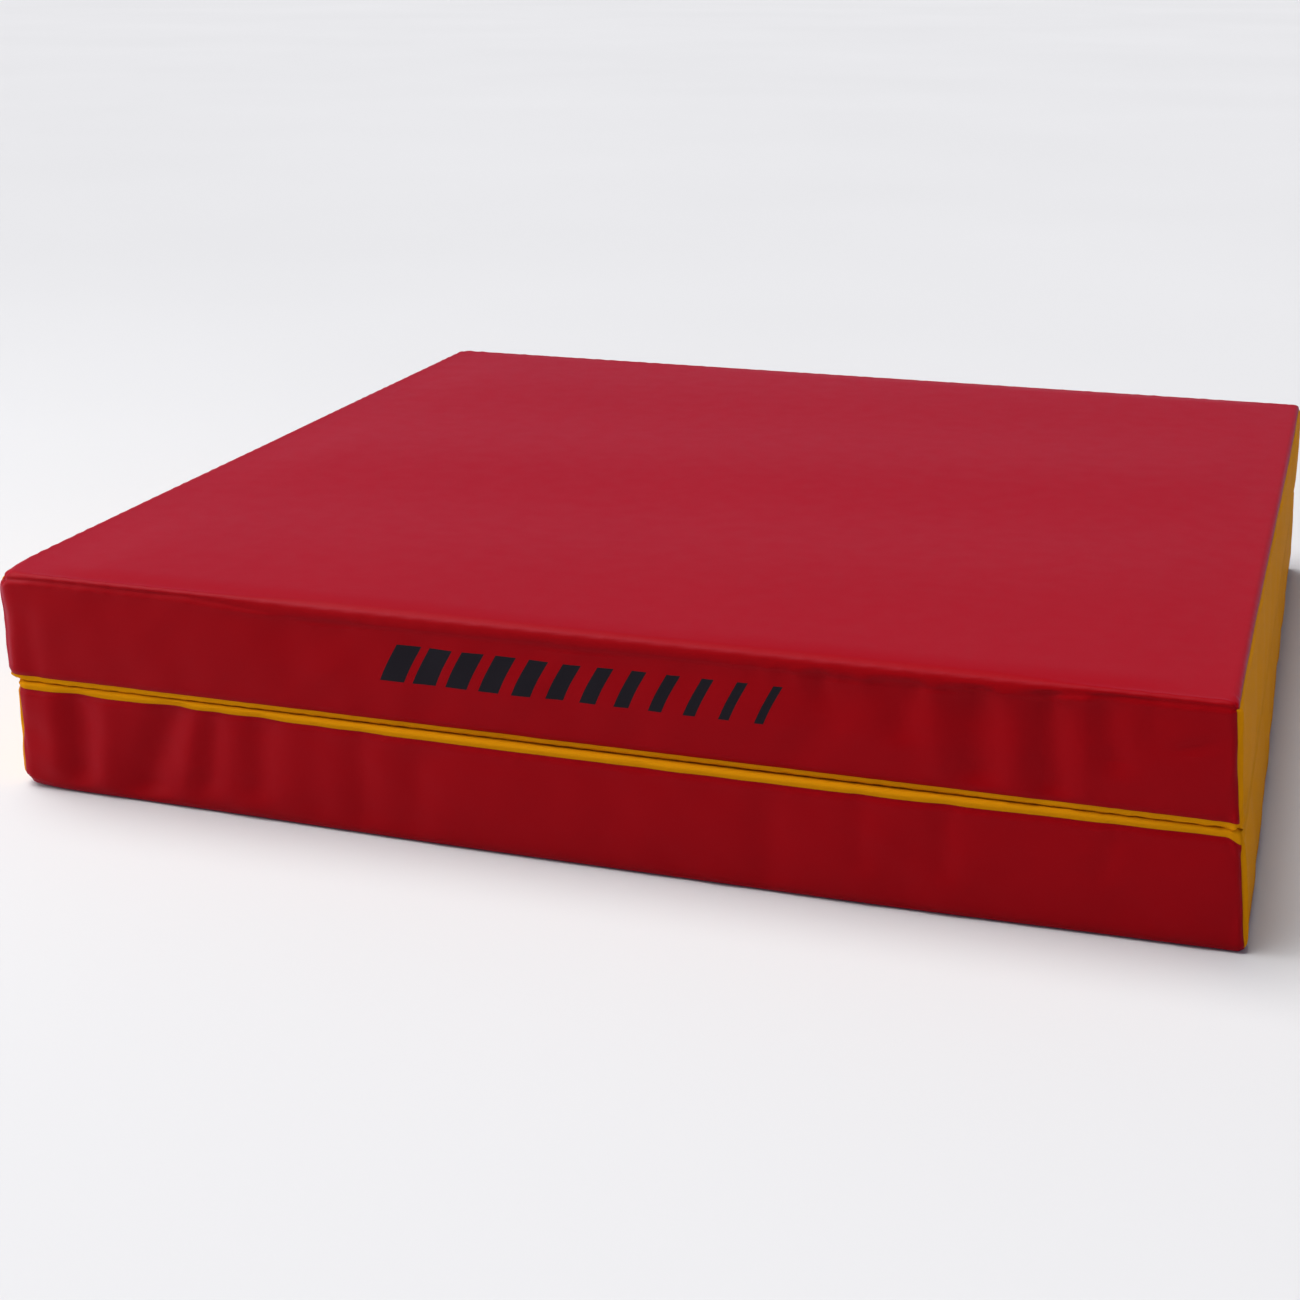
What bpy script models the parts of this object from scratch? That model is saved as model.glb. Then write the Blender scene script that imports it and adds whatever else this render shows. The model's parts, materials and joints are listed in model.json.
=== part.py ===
"""Folding gymnastics mat of two foam panels, folded in half with its outer faces up and down.

Metres, +Z up. The origin is the middle of the underside of the folded mat. +X points to the hinge
edge, -X to the open end, and the zips are in the back walls, at +Y. Each panel is a foam block in a
cover of coated fabric. The covers are joined along the fold axis, where the two inner faces meet at
the hinge wall, so the upper panel turns over that line until both panels lie flat, end to end.
"""

import math
from collections import namedtuple

import bmesh
import bpy
from mathutils import Matrix, Vector

# Panels
PANEL_LENGTH = 1.0  # along X
PANEL_WIDTH = 1.0  # along Y
PANEL_THICKNESS = 0.095
ROLL_RADIUS = 0.009  # the covers' edges are soft rolls
ROLL_SEGMENTS = 4
FABRIC = 0.0006  # thickness of the coated fabric
GAP = 0.0003  # between pieces that touch

# Seams of the covers, as distances from the faces
OUTER_SEAM = 0.004  # the outer sheet ends this far up the walls
INNER_SEAM = 0.008  # the inner sheet rolls this far on to the walls
CORNER_SEAM = 0.0095  # the end walls reach round the corners
HINGE_LIP = 0.0016  # the hinge wall turns in over the inner face at the fold axis
LIP_GAP = 0.0012  # between that lip and the inner sheet

# Zips, in the middle of each back wall
TAPE_WIDTH = 0.014  # each of the two tapes
TAPE_THICKNESS = 0.0005
COIL_WIDTH = 0.0028
COIL_HEIGHT = 0.0024
COIL_ROUNDING = 0.0006
SLOT_HALF_WIDTH = 0.005  # between the wall strips, where the zip shows
COIL_HALF_LENGTH = 0.478
STOP_LENGTH = 0.004
STOP_HALF_WIDTH = 0.0045
STOP_ROUNDING = 0.0005

# Zip slider: a channel over the coils, with a bridge that holds the pull tab
SLIDER_LENGTH = 0.020
SLIDER_HALF_WIDTH = 0.0047
SLIDER_WALL = 0.0014
SLIDER_PLATE = 0.001
SLIDER_CHAMFER = 0.0005
BRIDGE_HALF_LENGTH = 0.0045
BRIDGE_THICKNESS = 0.001
BRIDGE_WIDTH = 0.002
BRIDGE_OPENING = 0.0026  # height of the opening that the pull tab's bar turns in

# Pull tab, lying along the closed zip
PULL_LENGTH = 0.030
PULL_HALF_WIDTH = 0.0045
PULL_TIP_HALF_WIDTH = 0.0032
PULL_THICKNESS = 0.0014
PULL_BAR = 0.0014
PULL_WINDOW_LENGTH = 0.0075
PULL_WINDOW_HALF_WIDTH = 0.0022
PULL_EYE_RADIUS = 0.0013
ARC_STEPS = 8

# Heights above the outside of the back wall
TAPE_FACE = -(FABRIC + GAP)
COIL_BASE = TAPE_FACE + GAP
COIL_TOP = COIL_BASE + COIL_HEIGHT
PLATE_BASE = COIL_TOP + GAP
PLATE_TOP = PLATE_BASE + SLIDER_PLATE
PULL_AXIS_HEIGHT = PLATE_TOP + BRIDGE_OPENING / 2
SLIDER_TOP = PLATE_TOP + BRIDGE_OPENING + BRIDGE_THICKNESS

# Places. The sliders stand proud of the back walls, so the panels sit a little towards -Y.
FOLD_HEIGHT = PANEL_THICKNESS
HINGE_X = PANEL_LENGTH / 2 + GAP
PANEL_Y = -SLIDER_TOP / 2
BACK_WALL_Y = PANEL_Y + PANEL_WIDTH / 2
SLIDER_X = -COIL_HALF_LENGTH + SLIDER_LENGTH / 2 + GAP
ZIP_HEIGHT = PANEL_THICKNESS / 2  # above the outer face
FOAM_BACK_CLEARANCE = -TAPE_FACE + TAPE_THICKNESS + GAP

# name, height of the outer face, and +1 where the inner face is above it or -1 where it is below
Panel = namedtuple("Panel", "name outer_z direction")
PANELS = (
    Panel("lower", 0.0, 1),
    Panel("upper", 2 * PANEL_THICKNESS, -1),
)

PARTS = "folding_mat"
CUTTERS = "cutters"


def clear_scene():
    for obj in list(bpy.context.scene.objects):
        bpy.data.objects.remove(obj, do_unlink=True)


def make_collection(name):
    collection = bpy.data.collections.new(name)
    bpy.context.scene.collection.children.link(collection)
    return collection


def make_material(name, colour, roughness, metallic=0.0):
    material = bpy.data.materials.new(name)
    material.use_nodes = True
    shader = material.node_tree.nodes["Principled BSDF"]
    shader.inputs["Base Color"].default_value = (*colour, 1.0)
    shader.inputs["Roughness"].default_value = roughness
    shader.inputs["Metallic"].default_value = metallic
    material.diffuse_color = (*colour, 1.0)
    return material


def make_materials():
    return {
        "red_fabric": make_material("red_fabric", (0.36, 0.012, 0.022), 0.45),
        "yellow_fabric": make_material("yellow_fabric", (0.62, 0.27, 0.012), 0.45),
        "foam": make_material("foam", (0.55, 0.58, 0.60), 0.95),
        "zip_tape": make_material("zip_tape", (0.020, 0.020, 0.022), 0.85),
        "zip_coil": make_material("zip_coil", (0.015, 0.015, 0.016), 0.40),
        "zip_metal": make_material("zip_metal", (0.55, 0.55, 0.56), 0.30, 1.0),
    }


def add_axis(name, place, parent=None):
    """An empty at a joint's axis or a panel's reference point, for the pieces that move with it."""
    axis = bpy.data.objects.new(name, None)
    bpy.data.collections[PARTS].objects.link(axis)
    axis.empty_display_size = 0.05
    axis["place"] = place
    if parent:
        axis.parent = parent
        axis.location = Vector(place) - Vector(parent["place"])
    else:
        axis.location = place
    return axis


def add_part(name, bm, material, axis):
    """Make an object of a mesh given in world coordinates, parented to its axis."""
    bmesh.ops.translate(bm, vec=-Vector(axis["place"]), verts=bm.verts)
    mesh = bpy.data.meshes.new(name)
    bm.to_mesh(mesh)
    bm.free()
    mesh.materials.append(material)
    part = bpy.data.objects.new(name, mesh)
    bpy.data.collections[PARTS].objects.link(part)
    part.parent = axis
    return part


def block_mesh(low, high, radius=0.0, segments=1, is_sharp=None):
    """A box between two corners with its edges rounded, except those that is_sharp picks."""
    low, high = Vector(low), Vector(high)
    bm = bmesh.new()
    bmesh.ops.create_cube(bm, size=1.0)
    bmesh.ops.scale(bm, vec=high - low, verts=bm.verts)
    bmesh.ops.translate(bm, vec=(low + high) / 2, verts=bm.verts)
    if radius:
        edges = [edge for edge in bm.edges if not (is_sharp and is_sharp(edge))]
        bmesh.ops.bevel(bm, geom=edges, offset=radius, segments=segments, profile=0.5, affect="EDGES")
    return bm


def is_fold_edge(edge):
    """True for the edge of a panel's block that lies at the fold axis."""
    return all(v.co.x > 0 and v.co.z > PANEL_THICKNESS / 2 for v in edge.verts)


def set_panel_place(bm, panel):
    """Move a mesh from a panel's own space, whose outer face is z = 0 and inner face up, to the mat."""
    if panel.direction < 0:
        bmesh.ops.transform(bm, matrix=Matrix.Diagonal((1, 1, -1, 1)), verts=bm.verts)
        bmesh.ops.reverse_faces(bm, faces=bm.faces)
    bmesh.ops.translate(bm, vec=(0, 0, panel.outer_z), verts=bm.verts)


def panel_block(inset, back_inset, is_sharp=None):
    """A panel's rounded block in its own space, smaller by the insets."""
    half_length = PANEL_LENGTH / 2 - inset
    low = (-half_length, PANEL_Y - PANEL_WIDTH / 2 + inset, inset)
    high = (half_length, BACK_WALL_Y - back_inset, PANEL_THICKNESS - GAP / 2 - inset)
    return block_mesh(low, high, ROLL_RADIUS - inset, ROLL_SEGMENTS, is_sharp)


def add_foam_core(panel, material, axis):
    """The foam block, whose edge at the fold axis is as round as the others."""
    bm = panel_block(FABRIC + GAP, FOAM_BACK_CLEARANCE)
    set_panel_place(bm, panel)
    return add_part(f"{panel.name}_foam_core", bm, material, axis)


def seam_planes():
    """The planes that the cover is cut along, each as a point and a normal."""
    x_seam = PANEL_LENGTH / 2 - CORNER_SEAM
    x_lip = PANEL_LENGTH / 2 - HINGE_LIP
    x_cuts = [side * x_seam + half for side in (-1, 1) for half in (-GAP / 2, GAP / 2)]
    x_cuts += [x_lip, x_lip - LIP_GAP]
    z_seams = (OUTER_SEAM, PANEL_THICKNESS - INNER_SEAM)
    z_cuts = [seam + half for seam in z_seams for half in (-GAP / 2, GAP / 2)]
    z_cuts += [ZIP_HEIGHT - SLOT_HALF_WIDTH, ZIP_HEIGHT + SLOT_HALF_WIDTH]
    planes = [(Vector((x, 0, 0)), Vector((1, 0, 0))) for x in x_cuts]
    planes += [(Vector((0, 0, z)), Vector((0, 0, 1))) for z in z_cuts]
    return planes


def cover_regions():
    """For each piece of a cover, a test of a face's centre in the panel's own space."""
    x_seam = PANEL_LENGTH / 2 - CORNER_SEAM
    x_lip = PANEL_LENGTH / 2 - HINGE_LIP
    z_inner = PANEL_THICKNESS - INNER_SEAM
    half_gap = GAP / 2

    def on_walls(c):
        return OUTER_SEAM + half_gap < c.z < z_inner - half_gap

    def between_ends(c):
        return abs(c.x) < x_seam - half_gap

    def on_inner_side(c):
        return c.z > z_inner + half_gap

    return {
        "outer_sheet": lambda c: c.z < OUTER_SEAM - half_gap,
        "inner_sheet": lambda c: on_inner_side(c) and c.x < x_lip - LIP_GAP,
        "front_wall": lambda c: on_walls(c) and between_ends(c) and c.y < 0,
        "open_end_wall": lambda c: on_walls(c) and c.x < -x_seam - half_gap,
        "hinge_wall": lambda c: (on_walls(c) and c.x > x_seam + half_gap)
        or (c.x > x_lip and c.z > OUTER_SEAM + half_gap),
        "back_wall_outer_strip": lambda c: on_walls(c)
        and between_ends(c)
        and c.y > 0
        and c.z < ZIP_HEIGHT - SLOT_HALF_WIDTH,
        "back_wall_inner_strip": lambda c: on_walls(c)
        and between_ends(c)
        and c.y > 0
        and c.z > ZIP_HEIGHT + SLOT_HALF_WIDTH,
    }


def add_cover_piece(panel, name, is_kept, material, axis):
    """Cut one piece out of the rounded cover and give it the fabric's thickness, inwards."""
    bm = panel_block(0.0, 0.0, is_fold_edge)
    for point, normal in seam_planes():
        geometry = bm.verts[:] + bm.edges[:] + bm.faces[:]
        bmesh.ops.bisect_plane(bm, geom=geometry, dist=1e-7, plane_co=point, plane_no=normal)
    unwanted = [face for face in bm.faces if not is_kept(face.calc_center_median())]
    bmesh.ops.delete(bm, geom=unwanted, context="FACES")
    set_panel_place(bm, panel)
    piece = add_part(f"{panel.name}_{name}", bm, material, axis)
    piece.data.shade_smooth()
    fabric = piece.modifiers.new("fabric", "SOLIDIFY")
    fabric.thickness = FABRIC
    fabric.offset = -1.0
    fabric.use_even_offset = True
    return piece


def add_cover(panel, materials, axis):
    yellow = ("inner_sheet", "open_end_wall", "hinge_wall")
    for name, is_kept in cover_regions().items():
        material = materials["yellow_fabric" if name in yellow else "red_fabric"]
        add_cover_piece(panel, name, is_kept, material, axis)


def zip_z(panel, offset=0.0):
    """World height of a point that is offset from the zip's middle, towards the inner face."""
    return panel.outer_z + panel.direction * (ZIP_HEIGHT + offset)


def zip_block(panel, x_range, y_range, offsets, rounding=0.0):
    """A block on the zip: its X range, its heights above the back wall, its offsets from the middle."""
    z_ends = sorted(zip_z(panel, offset) for offset in offsets)
    low = (x_range[0], BACK_WALL_Y + y_range[0], z_ends[0])
    high = (x_range[1], BACK_WALL_Y + y_range[1], z_ends[1])
    return block_mesh(low, high, rounding)


def add_zip_chain(panel, materials, axis):
    """The two tapes under the wall strips, and the two coils between the strips."""
    tape_end = PANEL_LENGTH / 2 - CORNER_SEAM - GAP
    for name, side in (("outer", -1), ("inner", 1)):
        tape = zip_block(
            panel,
            (-tape_end, tape_end),
            (TAPE_FACE - TAPE_THICKNESS, TAPE_FACE),
            (side * GAP / 2, side * (GAP / 2 + TAPE_WIDTH)),
        )
        add_part(f"{panel.name}_zip_{name}_tape", tape, materials["zip_tape"], axis)
        coil = zip_block(
            panel,
            (-COIL_HALF_LENGTH, COIL_HALF_LENGTH),
            (COIL_BASE, COIL_TOP),
            (side * GAP / 2, side * (GAP / 2 + COIL_WIDTH)),
            COIL_ROUNDING,
        )
        add_part(f"{panel.name}_zip_{name}_coil", coil, materials["zip_coil"], axis)


def add_zip_stops(panel, materials, axis):
    for name, side in (("open_end", -1), ("hinge_end", 1)):
        near = side * (COIL_HALF_LENGTH + GAP)
        x_range = sorted((near, near + side * STOP_LENGTH))
        offsets = (-STOP_HALF_WIDTH, STOP_HALF_WIDTH)
        stop = zip_block(panel, x_range, (COIL_BASE, COIL_TOP), offsets, STOP_ROUNDING)
        add_part(f"{panel.name}_zip_{name}_stop", stop, materials["zip_metal"], axis)


def outline_mesh(outlines, depth, matrix):
    """A mesh of flat closed outlines, each after the first a hole, extruded to a depth about z = 0."""
    curve = bpy.data.curves.new("outline", "CURVE")
    curve.dimensions = "2D"
    curve.fill_mode = "BOTH"
    curve.extrude = depth / 2
    for points in outlines:
        spline = curve.splines.new("POLY")
        spline.points.add(len(points) - 1)
        for point, (x, y) in zip(spline.points, points):
            point.co = (x, y, 0, 1)
        spline.use_cyclic_u = True
    outline = bpy.data.objects.new("outline", curve)
    bpy.data.collections[PARTS].objects.link(outline)
    evaluated = outline.evaluated_get(bpy.context.evaluated_depsgraph_get())
    mesh = bpy.data.meshes.new_from_object(evaluated)
    bm = bmesh.new()
    bm.from_mesh(mesh)
    bmesh.ops.remove_doubles(bm, verts=bm.verts, dist=1e-6)
    bmesh.ops.recalc_face_normals(bm, faces=bm.faces)
    bmesh.ops.transform(bm, matrix=matrix, verts=bm.verts)
    bpy.data.objects.remove(outline, do_unlink=True)
    bpy.data.curves.remove(curve)
    bpy.data.meshes.remove(mesh)
    return bm


def arc_points(centre, radius, start, end):
    """Points along an arc, from one angle to another, ends included."""
    points = []
    for step in range(ARC_STEPS + 1):
        angle = start + (end - start) * step / ARC_STEPS
        points.append((centre[0] + radius * math.cos(angle), centre[1] + radius * math.sin(angle)))
    return points


def along_x(place):
    """Outline x to world +Z reversed, outline y to +Y, the extrusion along X."""
    rows = ((0, 0, 1), (0, 1, 0), (-1, 0, 0))
    return Matrix.Translation(place) @ Matrix(rows).to_4x4()


def add_slider(panel, material, axis):
    """The channel over the coils, joined to the bridge over the pull tab's bar."""
    inner = SLIDER_HALF_WIDTH - SLIDER_WALL
    half = SLIDER_HALF_WIDTH
    right = [
        (inner, PLATE_BASE),
        (inner, COIL_BASE),
        (half, COIL_BASE),
        (half, PLATE_TOP - SLIDER_CHAMFER),
        (half - SLIDER_CHAMFER, PLATE_TOP),
    ]
    left = [(-x, y) for x, y in reversed(right)]
    place = Vector((SLIDER_X, BACK_WALL_Y, zip_z(panel)))
    channel = outline_mesh([right + left], SLIDER_LENGTH, along_x(place))
    slider = add_part(f"{panel.name}_zip_slider", channel, material, axis)

    sunk = PLATE_TOP - SLIDER_PLATE / 2
    opening = BRIDGE_HALF_LENGTH - BRIDGE_THICKNESS
    arch = [
        (-BRIDGE_HALF_LENGTH, sunk),
        (-opening, sunk),
        (-opening, PLATE_TOP + BRIDGE_OPENING),
        (opening, PLATE_TOP + BRIDGE_OPENING),
        (opening, sunk),
        (BRIDGE_HALF_LENGTH, sunk),
        (BRIDGE_HALF_LENGTH, SLIDER_TOP - SLIDER_CHAMFER),
        (BRIDGE_HALF_LENGTH - SLIDER_CHAMFER, SLIDER_TOP),
        (SLIDER_CHAMFER - BRIDGE_HALF_LENGTH, SLIDER_TOP),
        (-BRIDGE_HALF_LENGTH, SLIDER_TOP - SLIDER_CHAMFER),
    ]
    bm = outline_mesh([arch], BRIDGE_WIDTH, Matrix.Translation(place))
    bridge = add_part(f"{panel.name}_zip_bridge", bm, material, axis)
    bpy.data.collections[PARTS].objects.unlink(bridge)
    bpy.data.collections[CUTTERS].objects.link(bridge)
    bridge.hide_render = True
    bridge.display_type = "WIRE"
    union = slider.modifiers.new("bridge", "BOOLEAN")
    union.operation = "UNION"
    union.object = bridge
    return slider


def add_pull(panel, material, axis):
    """A flat tab with a window at one end, whose end bar turns in the slider's bridge."""
    bar_edge = PULL_BAR / 2
    tip_centre = (PULL_LENGTH - PULL_TIP_HALF_WIDTH, 0.0)
    tip = arc_points(tip_centre, PULL_TIP_HALF_WIDTH, math.pi / 2, -math.pi / 2)
    outline = [(-bar_edge, -PULL_HALF_WIDTH), (-bar_edge, PULL_HALF_WIDTH)]
    outline += [(PULL_WINDOW_LENGTH, PULL_HALF_WIDTH)] + tip + [(PULL_WINDOW_LENGTH, -PULL_HALF_WIDTH)]
    window = [
        (bar_edge, -PULL_WINDOW_HALF_WIDTH),
        (PULL_WINDOW_LENGTH, -PULL_WINDOW_HALF_WIDTH),
        (PULL_WINDOW_LENGTH, PULL_WINDOW_HALF_WIDTH),
        (bar_edge, PULL_WINDOW_HALF_WIDTH),
    ]
    eye = arc_points(tip_centre, PULL_EYE_RADIUS, 0, 2 * math.pi)[:-1]
    stand_up = Matrix.Rotation(math.pi / 2, 4, "X")
    matrix = Matrix.Translation(axis["place"]) @ stand_up
    bm = outline_mesh([outline, window, eye], PULL_THICKNESS, matrix)
    return add_part(f"{panel.name}_zip_pull", bm, material, axis)


def add_zip(panel, materials, axis):
    add_zip_chain(panel, materials, axis)
    add_zip_stops(panel, materials, axis)
    slider_place = (SLIDER_X, BACK_WALL_Y, zip_z(panel))
    slider_axis = add_axis(f"{panel.name}_zip_slider_axis", slider_place, axis)
    add_slider(panel, materials["zip_metal"], slider_axis)
    pull_place = (SLIDER_X, BACK_WALL_Y + PULL_AXIS_HEIGHT, zip_z(panel))
    pull_axis = add_axis(f"{panel.name}_zip_pull_axis", pull_place, slider_axis)
    add_pull(panel, materials["zip_metal"], pull_axis)


def main():
    clear_scene()
    make_collection(PARTS)
    make_collection(CUTTERS)
    materials = make_materials()
    places = {"lower": (0.0, PANEL_Y, 0.0), "upper": (HINGE_X, PANEL_Y, FOLD_HEIGHT)}
    for panel in PANELS:
        axis = add_axis(f"{panel.name}_panel_axis", places[panel.name])
        add_foam_core(panel, materials["foam"], axis)
        add_cover(panel, materials, axis)
        add_zip(panel, materials, axis)


main()
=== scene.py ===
"""The looks of the folding gymnastics mat: soft sewn covers over foam, zips, materials, light, camera."""

import json
import math
from collections import namedtuple

import bpy
import numpy as np
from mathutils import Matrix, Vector
from mathutils.kdtree import KDTree


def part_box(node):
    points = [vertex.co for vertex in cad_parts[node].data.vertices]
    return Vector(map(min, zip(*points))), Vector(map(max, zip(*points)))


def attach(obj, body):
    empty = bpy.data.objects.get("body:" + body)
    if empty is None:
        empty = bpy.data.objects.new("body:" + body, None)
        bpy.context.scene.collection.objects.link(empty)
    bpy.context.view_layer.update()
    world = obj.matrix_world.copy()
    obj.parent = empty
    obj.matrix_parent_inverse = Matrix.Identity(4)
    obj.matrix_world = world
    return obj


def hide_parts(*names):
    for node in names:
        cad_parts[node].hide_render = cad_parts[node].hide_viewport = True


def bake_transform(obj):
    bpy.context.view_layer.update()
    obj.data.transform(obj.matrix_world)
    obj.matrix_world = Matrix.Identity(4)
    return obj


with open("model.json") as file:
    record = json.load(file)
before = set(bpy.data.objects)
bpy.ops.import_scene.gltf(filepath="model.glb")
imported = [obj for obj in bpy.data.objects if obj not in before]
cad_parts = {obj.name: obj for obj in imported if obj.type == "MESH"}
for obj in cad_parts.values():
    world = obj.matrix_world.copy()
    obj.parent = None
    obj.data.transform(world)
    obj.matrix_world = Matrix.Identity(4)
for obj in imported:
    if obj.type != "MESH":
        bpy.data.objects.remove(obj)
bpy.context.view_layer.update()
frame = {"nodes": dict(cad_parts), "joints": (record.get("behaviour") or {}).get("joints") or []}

# The panels, from the frame
FRONT_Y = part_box("lower_front_wall")[0].y
BACK_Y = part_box("lower_back_wall_inner_strip")[1].y
OPEN_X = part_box("lower_open_end_wall")[0].x
HINGE_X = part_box("lower_hinge_wall")[1].x
FOLD = next(j for j in frame["joints"] if j["name"] == "fold")
FOLD_X, FOLD_Y, THICKNESS = FOLD["pos_m"]
ZIP_SLOT = (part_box("lower_back_wall_outer_strip")[1].z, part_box("lower_back_wall_inner_strip")[0].z)

# Sewing, in metres
OUTER_SEAM = 0.0035  # height of the seam round the outer sheet
INNER_SEAM = 0.0054  # how far the inner sheet comes on to the walls
INNER_ROLL = 0.0047  # radius of the inner sheet's edge
TUCKED_ROLL = 0.0072  # the same at the upper panel's front edge, which tucks under
OUTER_ROLL = 0.008  # radius of the outer sheet's edge
FRONT_ROLL = 0.006  # the same along the front
OPEN_CORNER = 0.016  # radius of the upright corners at the open end
HINGE_CORNER = 0.006
MORE_ROLL = 0.008  # how much rounder the slack parts of the front's edges are
FABRIC = 0.0006  # thickness of the cloth
SEAM_DEPTH = 0.0010
SEAM_WIDTH = 0.0027
SEAM_PUFF = 0.0005  # how far the cloth stands up beside a seam
SEAM_GATHER = 0.00030  # how far the cloth beside a seam waves in and out
KNOT_GATHER = 0.0016  # the same where three seams meet at the front of the hinge
KNOT_SIZE = 0.012
FOAM_INSET = 0.009
FOAM_ROLL = 0.007
PAST_ZIP = 0.016  # the slot for the zip is closed this near the ends
ZIP_HEIGHT = sum(ZIP_SLOT) / 2

X, Y, Z = 0, 1, 2  # columns in an array of points
BOX_EDGE = 1e-6  # a point this near a side of the box is on it

# hinge_wrap: how far the hinge wall's sheet comes round on to the front, before the seam.
# front_wrap: how far the front wall's sheet goes round on to the open end.
Panel = namedtuple("Panel", "name outer_z direction hinge_wrap front_wrap seed")
PANELS = (
    Panel("lower", 0.0, 1, 0.0, 0.0, 3),
    Panel("upper", 2 * THICKNESS, -1, 0.0020, 0.010, 8),
)


# ---------------------------------------------------------------- small tools

def smooth(low, high, value):
    """0 below low, 1 above high, and a smooth step between."""
    t = np.clip((value - low) / (high - low), 0.0, 1.0)
    return t * t * (3 - 2 * t)


def bump(centre, width, value):
    """1 at the centre, fading to nothing about two widths away."""
    return np.exp(-(((value - centre) / width) ** 2))


def wander(value, seed, wavelength, terms=5):
    """A smooth irregular wave between about -1 and 1, the same each run."""
    chance = np.random.default_rng(seed)
    total = np.zeros_like(value)
    for term in range(terms):
        length = wavelength * (0.6 + 1.1 * chance.random())
        total += np.sin(2 * math.pi * (value / length + chance.random()))
    return total / math.sqrt(terms) / 1.2


# ---------------------------------------------------------------- the shell of a cover

EDGE_STEPS = (0.0, 0.0012, 0.0024, 0.0036, 0.005, 0.0065, 0.008, 0.010, 0.0125, 0.016, 0.020)


def grid_lines(low, high, step, marks):
    """Grid lines from low to high, close together at both ends, with one on each mark."""
    count = round((high - low - 2 * EDGE_STEPS[-1]) / step)
    middle = np.linspace(low + EDGE_STEPS[-1], high - EDGE_STEPS[-1], count + 1)
    near = [low + s for s in EDGE_STEPS[:-1]]
    far = [high - s for s in reversed(EDGE_STEPS[:-1])]
    lines = np.array(near + list(middle) + far)
    for mark in marks:
        lines[np.argmin(abs(lines - mark))] = mark
    return lines


SIDES = ("outer", "inner", "front", "back", "open", "hinge")


def box_grid(xs, ys, hs):
    """A box as welded grids: points, quads, each quad's side, and each side's lines and numbering.

    The quads face outwards.
    """
    x0, x1, y0, y1, h0, h1 = xs[0], xs[-1], ys[0], ys[-1], hs[0], hs[-1]
    sheets = {
        "outer": (ys, xs, lambda u, v: (v, u, np.full_like(u, h0))),
        "inner": (xs, ys, lambda u, v: (u, v, np.full_like(u, h1))),
        "front": (xs, hs, lambda u, v: (u, np.full_like(u, y0), v)),
        "back": (hs, xs, lambda u, v: (v, np.full_like(u, y1), u)),
        "open": (hs, ys, lambda u, v: (np.full_like(u, x0), v, u)),
        "hinge": (ys, hs, lambda u, v: (np.full_like(u, x1), u, v)),
    }
    points, quads, sides, patches, start = [], [], [], {}, 0
    for index, side in enumerate(SIDES):
        us, vs, place = sheets[side]
        u, v = np.meshgrid(us, vs, indexing="ij")
        points.append(np.stack([c.ravel() for c in place(u, v)], axis=1))
        number = np.arange(u.size).reshape(u.shape) + start
        corners = [number[:-1, :-1], number[1:, :-1], number[1:, 1:], number[:-1, 1:]]
        quads.append(np.stack([c.ravel() for c in corners], axis=1))
        sides.append(np.full(len(quads[-1]), index))
        patches[side] = (us, vs, number)
        start += u.size
    points = np.concatenate(points)
    _, first, same = np.unique(np.round(points, 6), axis=0, return_index=True, return_inverse=True)
    same = same.ravel()
    patches = {side: (us, vs, same[number]) for side, (us, vs, number) in patches.items()}
    return points[first], same[np.concatenate(quads)], np.concatenate(sides), patches


def round_edge(p, a, b, corner, sign, radius):
    """Turn the box's square edge across axes a and b into a roll of that radius, in place."""
    u = sign[0] * (p[:, a] - corner[0]) + radius
    v = sign[1] * (p[:, b] - corner[1]) + radius
    inside = (u > 0) & (v > 0)
    length = np.maximum(np.hypot(u, v), 1e-12)
    shrink = np.where(inside, np.maximum(u, v) / length, 1.0) - 1.0
    p[:, a] += sign[0] * u * shrink
    p[:, b] += sign[1] * v * shrink


# ---------------------------------------------------------------- the shape of a cover

Fold = namedtuple("Fold", "x lean width depth low high")
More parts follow.
